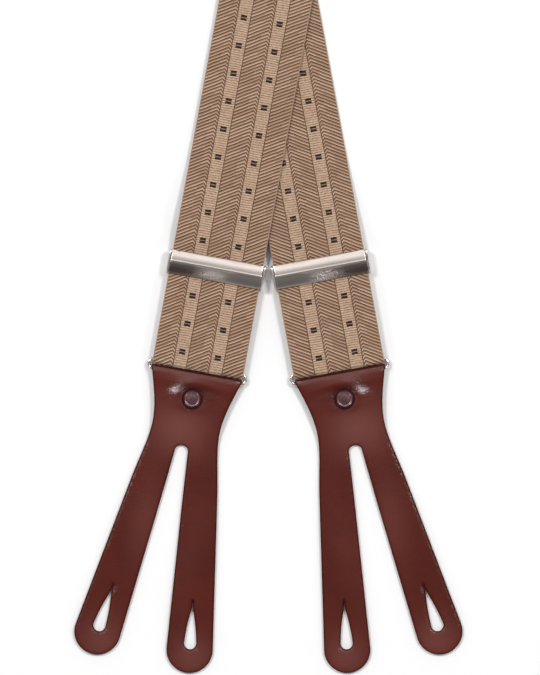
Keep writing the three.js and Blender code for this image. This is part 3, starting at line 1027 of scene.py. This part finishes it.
pinY = ((pinPlace - endPlace).dot(slideAxis)) / mm - adjuster["at"]
pinZ = pinPlace.z / mm
adjusterMatrix = endMatrix @ Matrix.Translation((0, adjuster["at"] * mm, 0))


def adjusterFrame():
    inner, outer = adjuster["earInner"], adjuster["earOuter"]
    ear = roundedCorners(adjuster["ear"], 0.5, 4)
    pieces = [bevelled(pushedOut("ear", ear, low, high), 0.22) for low, high in ((inner, outer), (-outer, -inner))]
    for low, high, bottom, top in adjuster["bars"]:
        bar = roundedCorners([(low, bottom), (high, bottom), (high, top), (low, top)], 0.35, 4)
        pieces.append(bevelled(pushedOut("bar", bar, -inner - 0.3, inner + 0.3), 0.1, 2))
    frameBody = joined(pieces, "left_adjuster_body")
    frameBody.data.materials.append(nickel)
    return smoothed(frameBody)


def adjusterLever():
    outline = adjuster["plate"] + arcPoints((pinY, pinZ), adjuster["barrel"], 32, -128, 11)
    lever = pushedOut("left_adjuster_plate", outline, -adjuster["leverHalf"], adjuster["leverHalf"])
    with editing(lever):
        for x in np.linspace(-adjuster["lastCut"], adjuster["lastCut"], 14):
            bpy.ops.mesh.select_all(action="SELECT")
            bpy.ops.mesh.bisect(plane_co=(x * mm, 0, 0), plane_no=(1, 0, 0))
    co = coordinates(lever.data)
    x, y = co[:, 0] / mm, co[:, 1] / mm
    upper = ease(y, -0.4, 0.4) * (co[:, 2] > 6.3 * mm)
    co[:, 2] -= adjuster["crown"] * mm * (x / 19) ** 2 * upper
    setCoordinates(lever.data, co)
    bevelled(lever, 0.14, 2, 50)
    lever.data.materials.append(leverNickel)
    co = coordinates(lever.data)
    x, y = co[:, 0] / mm, co[:, 1] / mm
    below = ease(-y, 0.1, 1.2)
    # Painted dark reflection below the crease, stronger towards the outer end
    attribute(lever.data, "dull", below * (0.25 + 0.75 * ease(-x, -4, 9)))
    attribute(lever.data, "scuffed", below * hump(x, y, -2, -3.2, 7, 2.6))
    patternMap(lever.data, "across", np.column_stack([co[:, 0], co[:, 1] + 0.3 * co[:, 2]]))
    return smoothed(lever, 30)


def rod(name, radius, low, high):  # on the pin's axis
    clearSelection()
    bpy.ops.mesh.primitive_cylinder_add(vertices=24, radius=radius * mm, depth=(high - low) * mm,
                                        location=((low + high) / 2 * mm, pinY * mm, pinZ * mm),
                                        rotation=(0, math.pi / 2, 0))
    return settled(named(name))


def adjusterPin():
    outer, overlap, out = adjuster["earOuter"], 0.02, adjuster["headOut"]
    heads = [bevelled(rod("head", adjuster["pinHead"], low, high), 0.07, 2)
             for low, high in ((outer - overlap, outer + out), (-outer - out, -outer + overlap))]
    pin = joined([rod("shaft", adjuster["pin"], -outer, outer)] + heads, "left_adjuster_axle")
    pin.data.materials.append(wireSteel)
    return smoothed(pin)


def wireRing(name):
    # A round ring of the wire, pulled out into an oblong along X
    corner = barSpacing / 2
    clearSelection()
    bpy.ops.mesh.primitive_torus_add(major_radius=corner, minor_radius=ringSizes["wire"], major_segments=48,
                                     minor_segments=16)
    ring = named(name)
    co = coordinates(ring.data)
    pull = ringSizes["halfLength"] - ringSizes["wire"] - corner
    co[:, 0] += pull * np.sign(co[:, 0]) * (np.abs(co[:, 0]) > 0.001 * mm)
    setCoordinates(ring.data, co)
    placed(ring, Matrix.Translation((0, (upperBar + lowerBar) / 2, ringHeight)))
    ring.data.materials.append(wireSteel)
    return smoothed(ring, 60)


# Half sections of the rivet's two pieces: (from the axis, height), in mm
rivet = {
    "dome": [(0, 1.0), (1.4, 1.0), (1.4, 3.9), (3.3, 3.92), (3.9, 4.0), (4.1, 4.12), (4.15, 4.28), (4.1, 4.46),
             (3.95, 4.62), (3.7, 4.78), (3.42, 4.93), (3.2, 5.0), (3.06, 5.0), (2.9, 4.9), (2.76, 4.76),
             (2.6, 4.72), (2.3, 4.73), (1.6, 4.78), (0.8, 4.81), (0, 4.82)],
    "washer": [(0, 0.02), (1.2, 0.03), (1.5, 0.12), (1.8, 0.03), (3.2, 0.03), (3.5, 0.12), (3.62, 0.3),
               (3.5, 0.5), (3.2, 0.6), (0, 0.6)],
    "paintedShadeFrom": 3.1,
}


def spun(name, profile):
    # A turned piece, spun about Z over the rivet's place
    mesh = bpy.data.meshes.new(name)
    mesh.from_pydata([(x * mm, 0, z * mm) for x, z in profile], [(k, k + 1) for k in range(len(profile) - 1)], [])
    obj = linked(name, mesh)
    with editing(obj):
        bpy.ops.mesh.spin(steps=56, angle=2 * math.pi, center=(0, 0, 0), axis=(0, 0, 1))
        bpy.ops.mesh.select_all(action="SELECT")
        bpy.ops.mesh.remove_doubles(threshold=0.001 * mm)
        bpy.ops.mesh.normals_make_consistent(inside=False)
    mesh.materials.append(rivetBronze)
    placed(obj, Matrix.Translation((0, -tab["rivetAt"] * mm, 0)))
    return smoothed(obj, 50)


def rivetDome(name):
    dome = spun(name, rivet["dome"])
    dome.data.materials.append(rivetRimPaintedShade)
    # Painted shade: the dome's outer shoulder takes the darker copy of its metal
    for face in dome.data.polygons:
        if math.hypot(face.center.x, face.center.y + tab["rivetAt"] * mm) > rivet["paintedShadeFrom"] * mm:
            face.material_index = 1
    return dome


print("Making the metal pieces")
for kind, piece, body, nodeName in (
        ("adjuster_body", adjusterFrame(), "adjuster", "adjuster_frame"),
        ("adjuster_plate", adjusterLever(), "lever", "adjuster_lever"),
        ("adjuster_axle", adjusterPin(), "adjuster", "adjuster_pin")):
    placed(piece, adjusterMatrix)
    for side, made in (("left", piece), ("right", mirrored(piece, f"right_{kind}"))):
        smoothed(made, 30)
        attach(made, f"{side}_{body}")
        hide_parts(f"{side}_{nodeName}")

rivetAndRing = {}
for side, matrix in (("left", endMatrix), ("back", backMatrix)):
    ring, dome = wireRing(f"{side}_wire_ring"), rivetDome(f"{side}_rivet_dome")
    washer = spun(f"{side}_rivet_washer", rivet["washer"])
    rivetAndRing[side] = [placed(piece, matrix) for piece in (ring, dome, washer)]
rivetAndRing["right"] = [mirrored(piece, piece.name.replace("left", "right")) for piece in rivetAndRing["left"]]
ridden = [("ring", "ring", "ring_wire"), ("tab", "rivet_cap", "antique_rivet"),
          ("tab", "rivet_back", "antique_rivet")]
for side, pieces in rivetAndRing.items():
    for piece, (body, nodeName, finish) in zip(pieces, ridden):
        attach(piece, f"{side}_{body}")
        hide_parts(f"{side}_{nodeName}")

# Yoke, its two layers, and all the sewing thread

yoke = {
    "layer": 1.5,
    "front": yokeFrontY / mm,
    "back": yokeBackY / mm,
    "top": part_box("yoke_front")[0].z / mm,
    "droop": 3.1,
    "droopFrom": 0.3,
    "droopWidth": 3.6,
    "stitchIn": 2.5,
    "stitchPitch": 3.3,
    "pressed": 0.18,
}


def yokeSide():
    y = yoke["front"]
    depth = yoke["back"] - y
    corner = bezierPoints((35, 4.6), (36.33, 4.8), (36.97, 5.6), (36.9, 7), 7)
    side = bezierPoints((36.9, 7), (36.3, 24), (31.5, 42), (22.6, depth - 2.6), 60)[1:]
    foot = bezierPoints((22.6, depth - 2.6), (21.93, depth - 0.87), (20.93, depth), (19.6, depth), 7)[1:]
    mouth = closeSpaced([(0, 0), (35, 4.6)], 1)
    ends = closeSpaced([(19.6, depth), (0, depth)], 1)[1:]
    return [(x, y + rise) for x, rise in mouth + corner[1:] + side + foot + ends]


def yokeOutline():
    right = yokeSide()
    left = [(-x, y) for x, y in right[1:-1]][::-1]
    return np.array(right + left) * mm


def yokeEdges():
    side = np.array([p for p in yokeSide() if yoke["front"] + 6 < p[1] < yoke["back"] - 7 and p[0] > 20]) * mm
    return np.concatenate([side, side * (-1, 1)])


edgePoints = yokeEdges()


def yokeTop(places):
    # Height of the front layer's middle: it rises over the straps and is pressed down at its sides
    near = np.full(len(places), 1e9)
    for point in edgePoints:
        near = np.minimum(near, np.linalg.norm(places - point, axis=1))
    droop = yoke["droop"] * (1 - ease(near / mm, yoke["droopFrom"], yoke["droopFrom"] + yoke["droopWidth"]))
    return (yoke["top"] + yoke["layer"] / 2 - droop) * mm


def yokeLayer(name, front):
    obj = cutLeather(name, [yokeOutline()], tabLeather)
    co = coordinates(obj.data)
    attribute(obj.data, "wearAndPaintedLight", 0.5 * hump(co[:, 0] / mm, co[:, 1] / mm, 0, yoke["front"] + 30, 18, 16))
    half = yoke["layer"] / 2 * mm
    if front:
        press = yoke["pressed"] * mm * nearStitches(co[:, :2]) * (co[:, 2] > 0)
        co[:, 2] = yokeTop(co[:, :2]) + co[:, 2] * half - press
    else:
        co[:, 2] = np.maximum(half - co[:, 2] * half, 0)  # grain side down
    setCoordinates(obj.data, co)
    return smoothed(obj if front else facingOut(obj), 40)


def stitchLine():
    # A closed line inside the yoke's edge
    loop = yokeOutline()
    line = inwardBy(loop, yoke["stitchIn"] * mm)
    return line[distanceTo(line, *segmentsOf([loop])) > 0.97 * yoke["stitchIn"] * mm]


def nearStitches(places):
    return np.clip(1 - distanceTo(places, *segmentsOf([stitchLine()])) / (0.8 * mm), 0, 1)


def evenPlaces(line, pitch):
    closed = np.concatenate([line, line[:1]])
    path = {"s": lengthsAlong(closed), "point": closed}
    count = round(path["s"][-1] / pitch)
    return readAt(path, "point", (np.arange(count) + 0.5) * path["s"][-1] / count)


thread = {
    "length": 2.7 * mm, "thick": 0.62 * mm, "webPitch": 3.1 * mm, "webCount": 12, "clear": 0.02 * mm,
    "probe": 0.3 * mm,
    "leatherColour": (64, 40, 30), "webColour": (150, 122, 96),
    "backRows": (17 * mm, 20.4 * mm), "returnRows": (2.2 * mm, 5.4 * mm),
}


def threadMaterial(name, colour):
    mat, tree = newMaterial(name)
    place = mapped(tree, "Object", (1, 1, 0.6))
    twist = node(tree, "ShaderNodeTexWave", vector=place, scale=1800, distortion=1.5).outputs["Fac"]
    return shaded(mat, {"Base Color": linear(*colour), "Sheen Weight": 0.2,
                        "Roughness": remapped(tree, twist, 0, 1, 0.5, 0.75), **bumps(tree, twist, 0.5, 0.06 * mm)})


def stitchPattern():
    clearSelection()
    bpy.ops.mesh.primitive_uv_sphere_add(segments=8, ring_count=6, radius=1, rotation=(0, math.pi / 2, 0))
    stitch = settled(bpy.context.active_object)
    co = coordinates(stitch.data)
    end = co[:, 0].copy()
    co *= (thread["length"] / 2, thread["thick"] / 2, thread["thick"] / 2)
    co[:, 2] = co[:, 2] * (1 - 0.55 * end ** 2) - 0.16 * mm * end ** 4
    setCoordinates(stitch.data, co)
    for face in stitch.data.polygons:
        face.use_smooth = True
    return stitch


def sewn(name, material, places):
    # One stitch at each (point, direction along the seam, direction off the surface)
    pattern = stitchPattern()
    copies = []
    for point, along, up in places:
        along, up = Vector(along).normalized(), Vector(up).normalized()
        turn = Matrix((along, up.cross(along).normalized(), up)).transposed().to_4x4()
        copy = linked(name, pattern.data.copy())
        copy.matrix_world = Matrix.Translation(point) @ turn
        copies.append(copy)
    bpy.data.objects.remove(pattern)
    seam = settled(joined(copies, name))
    seam.data.materials.append(material)
    return seam


def sewnRows(name, path, alongs):
    # Rows of stitches side by side across webbing that lies along a path
    places = []
    for at in alongs:
        point, side, out = (Vector(readAt(path, part, at)) for part in ("point", "side", "out"))
        for k in range(thread["webCount"]):
            offset = (k - (thread["webCount"] - 1) / 2) * thread["webPitch"]
            places.append((point + side * offset + out * halfThick, side, out))
    return sewn(name, webThread, places)


def yokeStitches():
    line = evenPlaces(stitchLine(), yoke["stitchPitch"] * mm)
    lift = yoke["layer"] / 2 * mm + thread["clear"]
    heights = yokeTop(line) + lift
    places = []
    for k, (x, y) in enumerate(line):
        before, after = (k - 1) % len(line), (k + 1) % len(line)
        along = Vector((*(line[after] - line[before]), heights[after] - heights[before]))
        inward = Vector((-along.y, along.x, 0)).normalized()
        beside = yokeTop(np.array([[x, y]]) + thread["probe"] * np.array([inward[:2]]))[0] + lift
        slope = (beside - heights[k]) / thread["probe"]
        places.append((Vector((x, y, heights[k])), along, along.cross(inward + Vector((0, 0, slope)))))
    return places


print("Sewing the yoke")
for name, nodeName in (("yoke_front_leather", "yoke_front"), ("yoke_back_leather", "yoke_back")):
    layer = yokeLayer(name, nodeName == "yoke_front")
    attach(layer, "root")
    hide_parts(nodeName)
leatherThread = threadMaterial("yokeThread", thread["leatherColour"])
webThread = threadMaterial("webbingThread", thread["webColour"])
yokeSeam = sewn("yoke_thread", leatherThread, yokeStitches())
backSeam = sewnRows("back_strap_thread", backStrapPath(), thread["backRows"])
leftSeam = sewnRows("left_return_thread", returnPath(), thread["returnRows"])
rightSeam = mirrored(leftSeam, "right_return_thread")
for seam, body, finish in ((yokeSeam, "root", "tab_leather"), (backSeam, "root", "webbing"),
                           (leftSeam, "left_adjuster", "webbing"), (rightSeam, "right_adjuster", "webbing")):
    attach(seam, body)

# Floor, lights and camera

studio = {
    "floorSize": 12.0,
    "floorDepth": 0.05 * mm,
    "cameraAbove": 3.0,
    "viewWidth": 223.1 * mm,
    "viewTallness": 1.25,
    "viewCentre": (0.66 * mm, -428.2 * mm, 0),
}
clearSelection()
bpy.ops.mesh.primitive_plane_add(size=studio["floorSize"], location=(0, 0, -studio["floorDepth"]))
floor = settled(named("floor"))
floor.data.materials.append(shaded(newMaterial("paleFloor")[0], {
    "Base Color": (0.9, 0.9, 0.9, 1), "Roughness": 0.9, "Specular IOR Level": 0.1}))


def areaLight(name, offset, size, power):
    data = bpy.data.lights.new(name, "AREA")
    data.shape = "DISK"
    data.size = size
    data.energy = power
    light = linked(name, data)
    light.location = centre + Vector(offset)
    light.rotation_euler = (-Vector(offset)).to_track_quat("-Z", "Y").to_euler()


centre = Vector(studio["viewCentre"])
for side in (-1, 1):
    areaLight("keyLight", (0.85 * side, 0.6, 1.8), 0.42, 16)
    areaLight("lowLight", (1.3 * side, -1.1, 1.3), 0.35, 3)
areaLight("topLight", (0, 1.05, 1.9), 1.5, 6.5)

world = bpy.data.worlds.new("studio")
bpy.context.scene.world = world
world.use_nodes = True
tree = world.node_tree
direction = node(tree, "ShaderNodeTexCoord").outputs["Generated"]
upward = node(tree, "ShaderNodeSeparateXYZ", vector=direction).outputs["Z"]
sky = tree.nodes["Background"]
plug(sky.inputs["Color"], blendOf(tree, remapped(tree, upward, 0.45, 0.85), (1, 1, 1, 1), (0.18, 0.18, 0.19, 1)))
plug(sky.inputs["Strength"], 0.6)

lens = bpy.data.cameras.new("camera")
camera = linked("camera", lens)
camera.location = centre + Vector((0, 0, studio["cameraAbove"]))
lens.lens = lens.sensor_width * studio["cameraAbove"] / (studio["viewWidth"] * studio["viewTallness"])
lens.clip_end = 50
bpy.context.scene.camera = camera
bpy.context.scene.view_settings.view_transform = "Standard"
